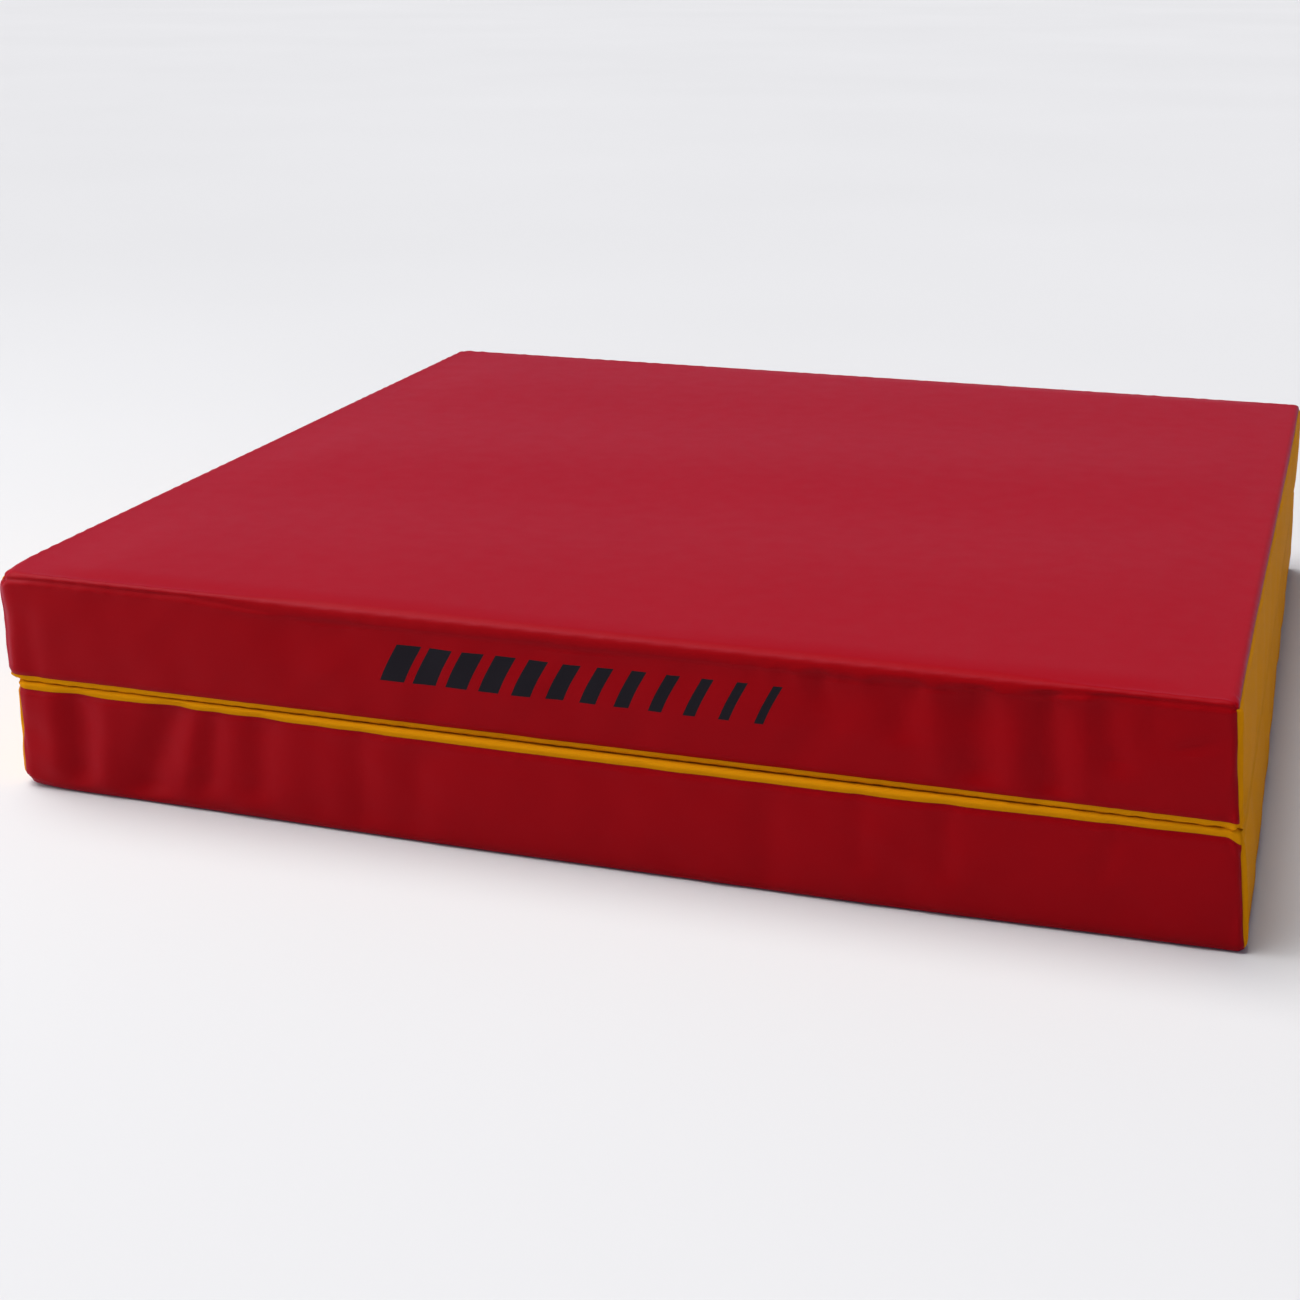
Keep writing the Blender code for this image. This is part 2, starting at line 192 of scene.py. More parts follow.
# x along the front wall, lean in metres over the wall's height, and the heights above the outer
# face between which the fold is deep. A negative depth is a ridge.
FRONT_FOLDS = {
    "upper": (
        Fold(-0.470, 0.000, 0.008, 0.0012, 0.030, 0.095),
        Fold(-0.452, 0.000, 0.012, -0.0008, 0.015, 0.080),
        Fold(0.200, -0.008, 0.008, 0.0020, 0.008, 0.035),
        Fold(0.224, 0.000, 0.012, -0.0008, 0.010, 0.060),
        Fold(0.260, -0.004, 0.013, 0.0030, 0.008, 0.055),
        Fold(0.287, 0.000, 0.012, -0.0018, 0.012, 0.080),
        Fold(0.314, 0.004, 0.014, 0.0042, 0.008, 0.080),
        Fold(0.341, 0.002, 0.011, -0.0022, 0.012, 0.085),
        Fold(0.366, 0.004, 0.011, 0.0052, 0.006, 0.085),
        Fold(0.390, 0.003, 0.008, -0.0018, 0.008, 0.085),
        Fold(0.412, 0.012, 0.011, 0.0034, 0.006, 0.060),
        Fold(0.442, 0.006, 0.010, 0.0012, 0.006, 0.040),
    ),
    "lower": (
        Fold(-0.461, -0.004, 0.013, -0.0026, 0.015, 0.085),
        Fold(-0.437, -0.004, 0.014, 0.0044, 0.015, 0.090),
        Fold(-0.412, 0.010, 0.012, -0.0022, 0.010, 0.085),
        Fold(-0.364, 0.034, 0.017, 0.0056, 0.010, 0.090),
        Fold(-0.333, 0.020, 0.010, -0.0012, 0.010, 0.085),
        Fold(-0.315, 0.012, 0.012, 0.0034, 0.020, 0.090),
        Fold(-0.270, 0.006, 0.014, 0.0034, 0.020, 0.090),
        Fold(-0.220, 0.002, 0.014, 0.0012, 0.012, 0.088),
        Fold(-0.178, 0.000, 0.012, 0.0018, 0.012, 0.088),
        Fold(-0.130, 0.004, 0.012, 0.0010, 0.010, 0.080),
        Fold(0.155, 0.002, 0.012, 0.0010, 0.010, 0.085),
        Fold(0.225, 0.004, 0.009, 0.0014, 0.030, 0.090),
        Fold(0.288, 0.004, 0.008, 0.0018, 0.030, 0.090),
        Fold(0.400, 0.030, 0.007, 0.0014, 0.045, 0.085),
    ),
}
CREASE = ((0.452, 0.040), (0.482, 0.030), 0.0016)  # a short diagonal one: from, to, depth
WRINKLES = (0.150, 0.390, 0.024, 0.0011)  # below the upper seam: from, to, spacing, depth
SEAM_DROP = 0.0075  # how much lower the upper seam runs along the middle of the front
SEAM_DIP = 0.005  # how much lower the lower panel's seam comes down at the hinge
TUCK = 0.0028  # how far the slack middle of the upper front leans in below its seam
# How far the cloth lies in from the box between its seams, on the average
BACK_HOLLOW = 0.0012
OPEN_END_HOLLOW = 0.0014
HINGE_HOLLOW = 0.0010
FOLD_VALLEY = 0.0008  # along the fold line
INNER_HOLLOW = 0.0015
INNER_WAVES = 0.0006
TOP_CROWN = 0.0012  # how far the top of the folded mat stands out
TOP_WAVES = 0.0010


def fold_depth(fold, x, h):
    """How far a fold pushes the cloth in, at places along and up a wall."""
    centre = fold.x + fold.lean * (h / THICKNESS - 0.5)
    along = bump(centre, fold.width, x)
    soft = 0.009
    up = smooth(fold.low - soft, fold.low + soft, h) * (1 - smooth(fold.high - soft, fold.high + soft, h))
    return fold.depth * along * up


def front_middle(x):
    """1 along the slack middle of the front, 0 near its ends."""
    return smooth(-0.33, -0.20, x) * (1 - smooth(0.33, 0.42, x))


def move_seams(x, y, h, panel):
    """Heights with the front seams moved: a drop in the upper one, a dip of the lower at the hinge."""
    front = y < FRONT_Y + BOX_EDGE
    if panel.direction < 0:
        drop = SEAM_DROP * front_middle(x) * (1 + 0.12 * wander(x, 31, wavelength=0.15))
        rise = np.clip(h / OUTER_SEAM, 0, 1) * (1 - smooth(OUTER_SEAM, 0.05, h))
        return h + drop * rise * front
    seam = THICKNESS - INNER_SEAM
    dip = SEAM_DIP * smooth(HINGE_X - 0.012, HINGE_X - 0.001, x)
    rise = np.clip((THICKNESS - h) / INNER_SEAM, 0, 1) * smooth(seam - 0.03, seam, h)
    return h - dip * rise * front


def wrinkle_depth(x, h):
    """A row of small wrinkles where the upper seam is slack."""
    start, stop, spacing, depth = WRINKLES
    within = smooth(start - 0.02, start + 0.02, x) * (1 - smooth(stop - 0.02, stop + 0.02, x))
    wave = np.sin(2 * math.pi * (x / spacing + 0.15 * wander(x, 33, wavelength=0.08)))
    return depth * wave * within * bump(OUTER_SEAM + SEAM_DROP, 0.012, h)


def crease_depth(x, h):
    """A narrow crease from one point of the wall to another."""
    (x0, h0), (x1, h1), depth = CREASE
    length = math.hypot(x1 - x0, h1 - h0)
    along = ((x - x0) * (x1 - x0) + (h - h0) * (h1 - h0)) / length
    across = ((x - x0) * (h1 - h0) - (h - h0) * (x1 - x0)) / length
    return depth * bump(0.0, 0.0035, across) * bump(length / 2, length / 2, along)


def fold_front(x, h, panel):
    """How far the front wall's cloth lies inside the plane of the wall."""
    depth = sum(fold_depth(fold, x, h) for fold in FRONT_FOLDS[panel.name])
    cloud = wander(x + 0.4 * h, panel.seed + 5, 0.07) * wander(h + 0.2 * x, panel.seed + 6, 0.06)
    depth = depth + 0.0005 * cloud
    if panel.direction < 0:
        depth = depth + wrinkle_depth(x, h)
        depth = depth + crease_depth(x, h)
        depth = depth + TUCK * front_middle(x) * smooth(0.010, 0.015, h) * (1 - smooth(0.02, 0.06, h))
    return depth


def round_edges(p, x, y, panel):
    """Roll every edge of the box but the one at the fold line, in place."""
    low, high = -1, 1  # which end of each axis the edge is at
    upper = panel.direction < 0
    soft_corner = bump(OPEN_X, 0.03, x) * bump(FRONT_Y, 0.03, y)
    at_front = FRONT_ROLL + MORE_ROLL * front_middle(x) * upper + MORE_ROLL * soft_corner
    round_edge(p, Y, Z, (FRONT_Y, 0.0), (low, low), at_front)
    round_edge(p, Y, Z, (BACK_Y, 0.0), (high, low), OUTER_ROLL)
    round_edge(p, Y, Z, (FRONT_Y, THICKNESS), (low, high), TUCKED_ROLL if upper else INNER_ROLL)
    round_edge(p, Y, Z, (BACK_Y, THICKNESS), (high, high), INNER_ROLL)
    round_edge(p, X, Z, (OPEN_X, 0.0), (low, low), OUTER_ROLL + MORE_ROLL * soft_corner)
    round_edge(p, X, Z, (OPEN_X, THICKNESS), (low, high), INNER_ROLL)
    round_edge(p, X, Z, (HINGE_X, 0.0), (high, low), OUTER_ROLL)
    for corner_x, side_x, radius in ((OPEN_X, low, OPEN_CORNER), (HINGE_X, high, HINGE_CORNER)):
        for corner_y, side_y in ((FRONT_Y, low), (BACK_Y, high)):
            round_edge(p, X, Y, (corner_x, corner_y), (side_x, side_y), radius)


def between_ends(low, high, near, far, value):
    """0 within near of low or high, 1 beyond far of both, and a smooth step between."""
    return smooth(low + near, low + far, value) * (1 - smooth(high - far, high - near, value))


def slacken_walls(p, x, y, h, panel):
    """Let the four walls' cloth lie in from the box, unevenly, between its seams, in place."""
    on_wall = smooth(0.002, 0.012, h) * (1 - smooth(THICKNESS - 0.014, THICKNESS - 0.006, h))
    along = between_ends(OPEN_X, HINGE_X, 0.004, 0.014, x)
    across = between_ends(FRONT_Y, BACK_Y, 0.004, 0.03, y)
    front = (y < FRONT_Y + BOX_EDGE) * along
    p[:, Y] += fold_front(x, p[:, Z], panel) * front * (h > OUTER_SEAM - BOX_EDGE)
    back = (y > BACK_Y - BOX_EDGE) * along * on_wall * smooth(0.012, 0.024, abs(h - ZIP_HEIGHT))
    p[:, Y] -= BACK_HOLLOW * (1 + wander(x, panel.seed, 0.11)) * back
    open_end = (x < OPEN_X + BOX_EDGE) * across * on_wall
    p[:, X] += OPEN_END_HOLLOW * (1 + wander(y + 0.3 * h, panel.seed + 1, 0.12)) * open_end
    hinge = (x > HINGE_X - BOX_EDGE) * across
    p[:, X] -= HINGE_HOLLOW * (1 + wander(y + 0.5 * h, panel.seed + 2, 0.09)) * hinge * on_wall
    p[:, X] -= FOLD_VALLEY * bump(THICKNESS, 0.006, h) * (x > HINGE_X - BOX_EDGE)


def bow_faces(p, x, y, h, panel):
    """Crown the top of the folded mat a little, and let the inner faces lie in, in place."""
    across = between_ends(FRONT_Y, BACK_Y, 0.004, 0.03, y)
    inside = across * between_ends(OPEN_X, HINGE_X, 0.01, 0.10, x)
    waves = wander(x + 0.3 * y, panel.seed + 3, 0.45) + wander(y - 0.2 * x, panel.seed + 4, 0.40)
    top = (h < BOX_EDGE) * inside * (panel.direction < 0)
    p[:, Z] -= (TOP_CROWN + TOP_WAVES * waves) * top
    inner = (h > THICKNESS - BOX_EDGE) * inside
    p[:, Z] -= (INNER_HOLLOW + INNER_WAVES * waves) * inner


def shape_panel(points, panel):
    """Box points (x, y, height above the outer face) to the soft panel's, in the same space."""
    x, y, h = points.T
    p = points.copy()
    p[:, Z] = move_seams(x, y, h, panel)
    round_edges(p, x, y, panel)
    slacken_walls(p, x, y, h, panel)
    bow_faces(p, x, y, h, panel)
    return p


# How far the panels have slid along x, at the open end and at the hinge, by height over the floor
SLIDE_HEIGHTS = (0.0, THICKNESS, THICKNESS + 0.004, 2 * THICKNESS)
SLIDE_OPEN_END = (-0.0085, -0.0055, -0.0132, -0.0145)
SLIDE_HINGE_FRONT = (0.0118, 0.0010, 0.0006, -0.0088)
SLIDE_HINGE_BACK = (0.003, 0.0, 0.0, -0.002)
FRONT_STEP = 0.001  # how far the lower panel's front stands forward of the upper one's
FRONT_BULGE = 0.005  # how much further along its middle


def settle(p, panel):
    """Place the panel on the floor or on the other one, slid a little, with the lower one forward."""
    x, y = p[:, X], p[:, Y]
    z = panel.outer_z + panel.direction * p[:, Z]
    at_open = np.interp(z, SLIDE_HEIGHTS, SLIDE_OPEN_END)
    at_front, at_back = (np.interp(z, SLIDE_HEIGHTS, s) for s in (SLIDE_HINGE_FRONT, SLIDE_HINGE_BACK))
    to_back = smooth(FRONT_Y, BACK_Y, y)
    at_hinge = at_front * (1 - to_back) + at_back * to_back
    to_hinge = np.clip((x - OPEN_X) / (HINGE_X - OPEN_X), 0, 1)
    world = p.copy()
    world[:, X] += at_open * (1 - to_hinge) + at_hinge * to_hinge
    world[:, Z] = z
    if panel.direction > 0:
        middle = smooth(-0.42, -0.05, x) * (1 - smooth(0.20, 0.48, x))
        near_front = 1 - smooth(FRONT_Y, FRONT_Y + 0.3, y)
        forward = FRONT_STEP * (1 - smooth(0.44, 0.49, x)) + FRONT_BULGE * middle
        world[:, Y] -= forward * near_front
    return world


def find_region(centres, sides, panel):
    """The name of the cover's piece that each quad belongs to, from its centre on the box."""
    x, y, h = centres.T
    side = np.array(SIDES)[sides]
    wall = np.isin(side, ("front", "back", "open", "hinge"))
    region = np.full(len(side), "", dtype="<U16")
    region[side == "front"] = "front_wall"
    region[(side == "back") & (h < ZIP_SLOT[0])] = "back_outer"
    past_zip = (x < OPEN_X + PAST_ZIP) | (x > HINGE_X - PAST_ZIP)
    region[(side == "back") & ((h > ZIP_SLOT[1]) | (past_zip & (h > ZIP_SLOT[0])))] = "back_inner"
    region[side == "open"] = "open_wall"
    region[(side == "open") & (y < FRONT_Y + panel.front_wrap)] = "front_wall"
    wrapped = (side == "hinge") | ((side == "front") & (x > HINGE_X - panel.hinge_wrap))
    region[wrapped] = "hinge_wall"
    region[wall & (h > THICKNESS - INNER_SEAM) & ~wrapped] = "inner"
    region[wall & (h < OUTER_SEAM)] = "outer"
    region[side == "outer"] = "outer"
    region[side == "inner"] = "inner"
    return region


def shell_normals(points, quads):
    """Unit normals at the points of a quad mesh."""
    a, b, c, d = (points[quads[:, i]] for i in range(4))
    faces = np.cross(c - a, d - b)
    normals = np.zeros_like(points)
    for corner in range(4):
        np.add.at(normals, quads[:, corner], faces)
    length = np.linalg.norm(normals, axis=1, keepdims=True)
    return normals / np.maximum(length, 1e-12)


def seam_distance(points, quads, region):
    """How far each point is from the nearest seam, along the box, from the grid's seam edges."""
    on_seam = np.zeros(len(points), bool)
    edges = {}
    for number, quad in enumerate(quads):
        for i in range(4):
            key = tuple(sorted((quad[i], quad[(i + 1) % 4])))
            edges.setdefault(key, []).append(number)
    for (a, b), faces in edges.items():
        kinds = {region[face] for face in faces}
        if len(kinds) == 2 and "" not in kinds:
            on_seam[[a, b]] = True
    found = np.flatnonzero(on_seam)
    tree = KDTree(len(found))
    for index, point in enumerate(points[found]):
        tree.insert(point, index)
    tree.balance()
    return np.array([tree.find(point)[2] for point in points])


def sew(points, box_points, quads, distance, panel):
    """Pull the seams in, and gather the cloth beside them, most where three seams meet at the hinge."""
    normals = shell_normals(points, quads)
    x, y, h = box_points.T
    knot = np.sqrt((x - HINGE_X) ** 2 + (y - FRONT_Y) ** 2 + (h - THICKNESS + 0.004) ** 2)
    along = box_points @ np.array([1.0, 1.0, 0.35])
    calm = 1 - (panel.direction > 0) * (1 - smooth(0.006, 0.016, h))  # 0 at the seam on the floor
    strength = SEAM_GATHER * calm + KNOT_GATHER * bump(0.0, KNOT_SIZE, knot)
    gather = wander(along, panel.seed + 20, 0.012) * bump(0.0045, 0.004, distance) * strength
    groove = SEAM_DEPTH * bump(0.0, SEAM_WIDTH, distance) * (0.3 + 0.7 * calm)
    groove = groove * (1 - 0.8 * bump(0.0, KNOT_SIZE, knot))
    puff = SEAM_PUFF * bump(0.005, 0.003, distance)
    off_fold = smooth(0.0, 0.007, np.hypot(HINGE_X - x, THICKNESS - h))  # so that both halves meet
    push = (puff * calm + gather - groove) * off_fold
    return points + normals * push[:, None]


# ---------------------------------------------------------------- meshes and pieces

def make_mesh_object(name, points, quads, uvs=None, seam=None, normals=None):
    """A smooth-shaded object in the scene, from points and quads, with values given per point."""
    mesh = bpy.data.meshes.new(name)
    mesh.vertices.add(len(points))
    mesh.vertices.foreach_set("co", points.astype(np.float32).ravel())
    mesh.loops.add(quads.size)
    mesh.loops.foreach_set("vertex_index", quads.ravel().astype(np.int32))
    mesh.polygons.add(len(quads))
    mesh.polygons.foreach_set("loop_start", np.arange(0, quads.size, 4, dtype=np.int32))
    mesh.update(calc_edges=True)
    if uvs is not None:
        mesh.uv_layers.new(name="UVMap").data.foreach_set("uv", uvs[quads].astype(np.float32).ravel())
    if seam is not None:
        mesh.attributes.new("seam", "FLOAT", "POINT").data.foreach_set("value", seam.astype(np.float32))
    mesh.shade_smooth()
    mesh.validate()
    if normals is not None:
        mesh.normals_split_custom_set_from_vertices(normals.tolist())
    piece = bpy.data.objects.new(name, mesh)
    bpy.context.scene.collection.objects.link(piece)
    return piece


def thicken(points, quads, normals):
    """A sheet given its thickness on the inside: both faces, and a rim along every free edge."""
    count = len(points)
    edges = np.concatenate([quads[:, [i, (i + 1) % 4]] for i in range(4)])
    _, first, uses = np.unique(np.sort(edges, axis=1), axis=0, return_index=True, return_counts=True)
    rim = edges[first[uses == 1]]
    rim_quads = np.stack([rim[:, 1], rim[:, 0], rim[:, 0] + count, rim[:, 1] + count], axis=1)
    both = np.concatenate([points, points - normals * FABRIC])
    return both, np.concatenate([quads, quads[:, ::-1] + count, rim_quads])


def take(points, quads, chosen):
    """The part of a mesh that the chosen quads use: the numbers of its points, and its quads."""
    used, renumbered = np.unique(quads[chosen], return_inverse=True)
    return used, renumbered.reshape(-1, 4)


def flat_place(box_points, side_name):
    """Places on the cloth before it was sewn, in metres: along and up a wall, or along and across."""
    x, y, h = box_points.T
    if side_name in ("outer", "inner"):
        down = h if side_name == "outer" else THICKNESS - h  # how far down a wall the sheet has turned
        u = x + down * ((x > HINGE_X - BOX_EDGE) * 1.0 - (x < OPEN_X + BOX_EDGE))
        v = y + down * ((y > BACK_Y - BOX_EDGE) * 1.0 - (y < FRONT_Y + BOX_EDGE))
        return np.stack([u, v], axis=1)
    if side_name == "open_wall":
        return np.stack([y, h], axis=1)
    if side_name == "hinge_wall":
        return np.stack([y - (HINGE_X - x), h], axis=1)
    return np.stack([x - (y - FRONT_Y) * (side_name == "front_wall"), h], axis=1)


# ---------------------------------------------------------------- materials

Finish = namedtuple("Finish", "colour gloss gloss_tint sheen sheen_tint")
RED = Finish((0.30, 0.0004, 0.001), 0.08, (0.75, 0.60, 1.0), 0.05, (0.25, 0.03, 1.0))
YELLOW = Finish((0.64, 0.250, 0.003), 0.002, (1.0, 1.0, 1.0), 0.0, (1.0, 1.0, 1.0))
INK = (0.012, 0.011, 0.012)
BARS_START = -0.128  # along the front wall, in metres
BARS_LENGTH = 0.330
BARS_BETWEEN = (0.020, 0.055)  # down from the top
BAR_COUNT = 12
BAR_SLANT = 0.45
BAR_SHARES = (0.78, 0.22)  # ink's share of each bar's room, at the first and the last
WEAVE_PITCH = 0.0013
SHEEN_ROUGHNESS = 0.4


def new_material(name):
    material = bpy.data.materials.new(name)
    material.use_nodes = True
    tree = material.node_tree
    return material, tree, tree.nodes["Principled BSDF"]


def add_node(tree, kind, **values):
    node = tree.nodes.new(kind)
    for key, value in values.items():
        setattr(node, key, value)
    return node


def math_node(tree, operation, a, b=0.0):
    node = add_node(tree, "ShaderNodeMath", operation=operation)
    for socket, value in zip(node.inputs, (a, b)):
        if isinstance(value, (int, float)):
            socket.default_value = value
        else:
            tree.links.new(value, socket)
    return node.outputs[0]


def noise_node(tree, vector, scale, detail=3.0, roughness=0.55):
    node = add_node(tree, "ShaderNodeTexNoise")
    node.inputs["Scale"].default_value = scale
    node.inputs["Detail"].default_value = detail
    node.inputs["Roughness"].default_value = roughness
    tree.links.new(vector, node.inputs["Vector"])
    return node.outputs["Fac"]


def ramp_node(tree, value, stops):
    node = add_node(tree, "ShaderNodeValToRGB")
    while len(node.color_ramp.elements) < len(stops):
        node.color_ramp.elements.new(0.5)
    for element, (place, colour) in zip(node.color_ramp.elements, stops):
        element.position = place
        element.color = (*colour, 1.0)
    tree.links.new(value, node.inputs["Fac"])
    return node.outputs["Color"]


def bump_node(tree, height, distance, strength):
    node = add_node(tree, "ShaderNodeBump")
    node.inputs["Strength"].default_value = strength
    node.inputs["Distance"].default_value = distance
    tree.links.new(height, node.inputs["Height"])
    return node


def weave(tree, place, pitch):
    """Height of a plain weave seen through the coating: crossing threads of one pitch."""
    split = add_node(tree, "ShaderNodeSeparateXYZ")
    tree.links.new(place, split.inputs[0])
    turn = 2 * math.pi / pitch
    across = math_node(tree, "SINE", math_node(tree, "MULTIPLY", split.outputs["X"], turn))
    along = math_node(tree, "SINE", math_node(tree, "MULTIPLY", split.outputs["Y"], turn))
    return math_node(tree, "MULTIPLY", across, along)


def scaled(colour, factor):
    return tuple(min(1.0, c * factor) for c in colour)


def mix_node(tree, factor, a, b):
    node = add_node(tree, "ShaderNodeMix", data_type="RGBA")
    tree.links.new(factor, node.inputs["Factor"])
    for socket, colour in ((node.inputs["A"], a), (node.inputs["B"], b)):
        if isinstance(colour, tuple):
            socket.default_value = (*colour, 1.0)
        else:
            tree.links.new(colour, socket)
    return node.outputs["Result"]


def printed_bars(tree, uv):
    """Mask of the print on the front: a row of slanted bars that thin out to the right."""
    split = add_node(tree, "ShaderNodeSeparateXYZ")
    tree.links.new(uv, split.inputs[0])
    along, up = split.outputs["X"], split.outputs["Y"]
    slanted = math_node(tree, "ADD", along, math_node(tree, "MULTIPLY", up, BAR_SLANT))
    run = math_node(tree, "DIVIDE", math_node(tree, "SUBTRACT", slanted, BARS_START), BARS_LENGTH)
    place = math_node(tree, "FRACT", math_node(tree, "MULTIPLY", run, float(BAR_COUNT)))
    thinner = math_node(tree, "MULTIPLY", run, BAR_SHARES[0] - BAR_SHARES[1])
    share = math_node(tree, "SUBTRACT", BAR_SHARES[0], thinner)
    mask = math_node(tree, "LESS_THAN", place, share)
    limits = (
        ("GREATER_THAN", run, 0.0),
        ("LESS_THAN", run, 1.0),
        ("GREATER_THAN", up, BARS_BETWEEN[0]),
        ("LESS_THAN", up, BARS_BETWEEN[1]),
    )
    for operation, value, limit in limits:
        mask = math_node(tree, "MULTIPLY", mask, math_node(tree, operation, value, limit))
    return mask


def coated_fabric(name, finish, has_print=False):
    """PVC-coated polyester: a satin skin over a fine weave, with painted shade darkening its colour by
    the seams.
    """
    material, tree, shader = new_material(name)
    uv = add_node(tree, "ShaderNodeUVMap", uv_map="UVMap").outputs["UV"]
    broad = noise_node(tree, uv, 5.0, 2.0)
    cloud = noise_node(tree, uv, 45.0, 4.0)
    grain = noise_node(tree, uv, 900.0, 2.0)
    broad_share = math_node(tree, "MULTIPLY", broad, 0.6)
    cloud_share = math_node(tree, "MULTIPLY", cloud, 0.4)
    tone = math_node(tree, "ADD", broad_share, cloud_share)
    darker, lighter = scaled(finish.colour, 0.985), scaled(finish.colour, 1.015)
    body = ramp_node(tree, tone, ((0.30, darker), (0.70, lighter)))
    seam = add_node(tree, "ShaderNodeAttribute", attribute_name="seam").outputs["Fac"]
    # painted shade: near the seams the colour is mixed towards a darker copy of itself, standing in for
    # the shade in the seam grooves
    seam_shade = math_node(tree, "MULTIPLY", math_node(tree, "POWER", seam, 2.0), 0.30)
    skin_colour = mix_node(tree, seam_shade, body, scaled(finish.colour, 0.5))
    rough = ramp_node(tree, cloud, ((0.35, (0.48,) * 3), (0.70, (0.52,) * 3)))
    if has_print:
        skin_colour = mix_node(tree, printed_bars(tree, uv), skin_colour, INK)
    tree.links.new(skin_colour, shader.inputs["Base Color"])
    tree.links.new(rough, shader.inputs["Roughness"])
    shader.inputs["Specular IOR Level"].default_value = finish.gloss
    shader.inputs["Specular Tint"].default_value = (*finish.gloss_tint, 1.0)
    shader.inputs["Sheen Weight"].default_value = finish.sheen
    shader.inputs["Sheen Roughness"].default_value = SHEEN_ROUGHNESS
    shader.inputs["Sheen Tint"].default_value = (*finish.sheen_tint, 1.0)
    threads = bump_node(tree, weave(tree, uv, WEAVE_PITCH), distance=0.00008, strength=0.25)
    skin = bump_node(tree, grain, distance=0.00012, strength=0.25)
    tree.links.new(threads.outputs["Normal"], skin.inputs["Normal"])
    tree.links.new(skin.outputs["Normal"], shader.inputs["Normal"])
    return material


def plain_grain(name, colour, roughness, metallic=0.0, scale=400.0, strength=0.2):
    """A moulded or cast surface with a fine grain and slightly uneven colour."""
    material, tree, shader = new_material(name)
    place = add_node(tree, "ShaderNodeTexCoord").outputs["Object"]
    cloud = noise_node(tree, place, 30.0, 3.0)
    grain = noise_node(tree, place, scale, 3.0)
    body = ramp_node(tree, cloud, ((0.3, scaled(colour, 0.88)), (0.7, scaled(colour, 1.10))))
    tree.links.new(body, shader.inputs["Base Color"])
    smoother, rougher = (scaled((roughness,) * 3, factor) for factor in (0.85, 1.15))
    rough = ramp_node(tree, grain, ((0.3, smoother), (0.7, rougher)))
    tree.links.new(rough, shader.inputs["Roughness"])
    shader.inputs["Metallic"].default_value = metallic
    relief = bump_node(tree, grain, distance=0.0003, strength=strength)
    tree.links.new(relief.outputs["Normal"], shader.inputs["Normal"])
    return material


MATERIALS = {
    "red": coated_fabric("red_coated_fabric", RED),
    "printed_red": coated_fabric("red_coated_fabric_printed", RED, has_print=True),
    "yellow": coated_fabric("yellow_coated_fabric", YELLOW),
    "foam": plain_grain("open_cell_foam", (0.50, 0.53, 0.55), 0.95, scale=700.0, strength=0.8),
    "tape": plain_grain("zip_tape_weave", (0.020, 0.020, 0.022), 0.85, scale=1500.0, strength=0.5),
    "coil": plain_grain("zip_nylon", (0.018, 0.018, 0.020), 0.40),
    "metal": plain_grain("zip_metal", (0.52, 0.52, 0.53), 0.32, 1.0, strength=0.04),
}


# ---------------------------------------------------------------- the cloth simulation

SIM_FRAMES = 20
SLACK = 0.006  # the walls' cloth is this share longer than the foam
AIR_PRESSURE = 1.5
MOST_MOVE = 0.0028  # how far a point may move, in metres
SMOOTHING_PASSES = 12
WALLS = ("front", "open", "back", "hinge")


def every_other(lines):
    """Half of the grid lines, with both ends kept."""
    kept = list(lines[::2])
    if kept[-1] != lines[-1]:
        kept.append(lines[-1])
    return np.array(kept)


def between_lines(fine, coarse):
    """Weights that carry values on coarse grid lines to the fine ones."""
    return np.stack([np.interp(fine, coarse, row) for row in np.eye(len(coarse))], axis=1)


def even_out(field, quads, passes):
    """Average a field over neighbouring points, over and over."""
    edges = np.concatenate([quads[:, [i, (i + 1) % 4]] for i in range(4)])
    edges = np.concatenate([edges, edges[:, ::-1]])
    count = np.bincount(edges[:, 0], minlength=len(field))[:, None]
    for _ in range(passes):
        total = [np.bincount(edges[:, 0], field[edges[:, 1], axis], len(field)) for axis in range(3)]
        field = 0.5 * field + 0.5 * np.stack(total, axis=1) / count
    return field


def run_cloth(points, quads, held, name):
    """Where a slack sheet's points go, held by some of them, with a little air behind it."""
    sheet = make_mesh_object(name, points, quads)
    bpy.context.view_layer.update()
    group = sheet.vertex_groups.new(name="held")
    for index in np.flatnonzero(held > 0):
        group.add([int(index)], float(held[index]), "REPLACE")
    cloth = sheet.modifiers.new("cloth", "CLOTH")
    cloth.settings.quality = 6
    cloth.settings.mass = 0.02
    cloth.settings.tension_stiffness = 25
    cloth.settings.compression_stiffness = 25
    cloth.settings.shear_stiffness = 8
    cloth.settings.bending_stiffness = 0.15
    cloth.settings.air_damping = 2
    cloth.settings.shrink_min = -SLACK
    cloth.settings.use_pressure = True
    cloth.settings.uniform_pressure_force = AIR_PRESSURE
    cloth.settings.vertex_group_mass = "held"
    cloth.settings.effector_weights.gravity = 0
    cloth.collision_settings.use_collision = False
    cloth.collision_settings.use_self_collision = False
    cloth.point_cache.frame_start = 1
    cloth.point_cache.frame_end = SIM_FRAMES
    for frame_number in range(1, SIM_FRAMES + 1):
        bpy.context.scene.frame_set(frame_number)
    solved = sheet.evaluated_get(bpy.context.evaluated_depsgraph_get()).data
    result = np.empty(len(points) * 3, np.float32)
    solved.vertices.foreach_get("co", result)
    bpy.context.scene.frame_set(1)
    bpy.data.objects.remove(sheet, do_unlink=True)
    return result.reshape(-1, 3).astype(float)


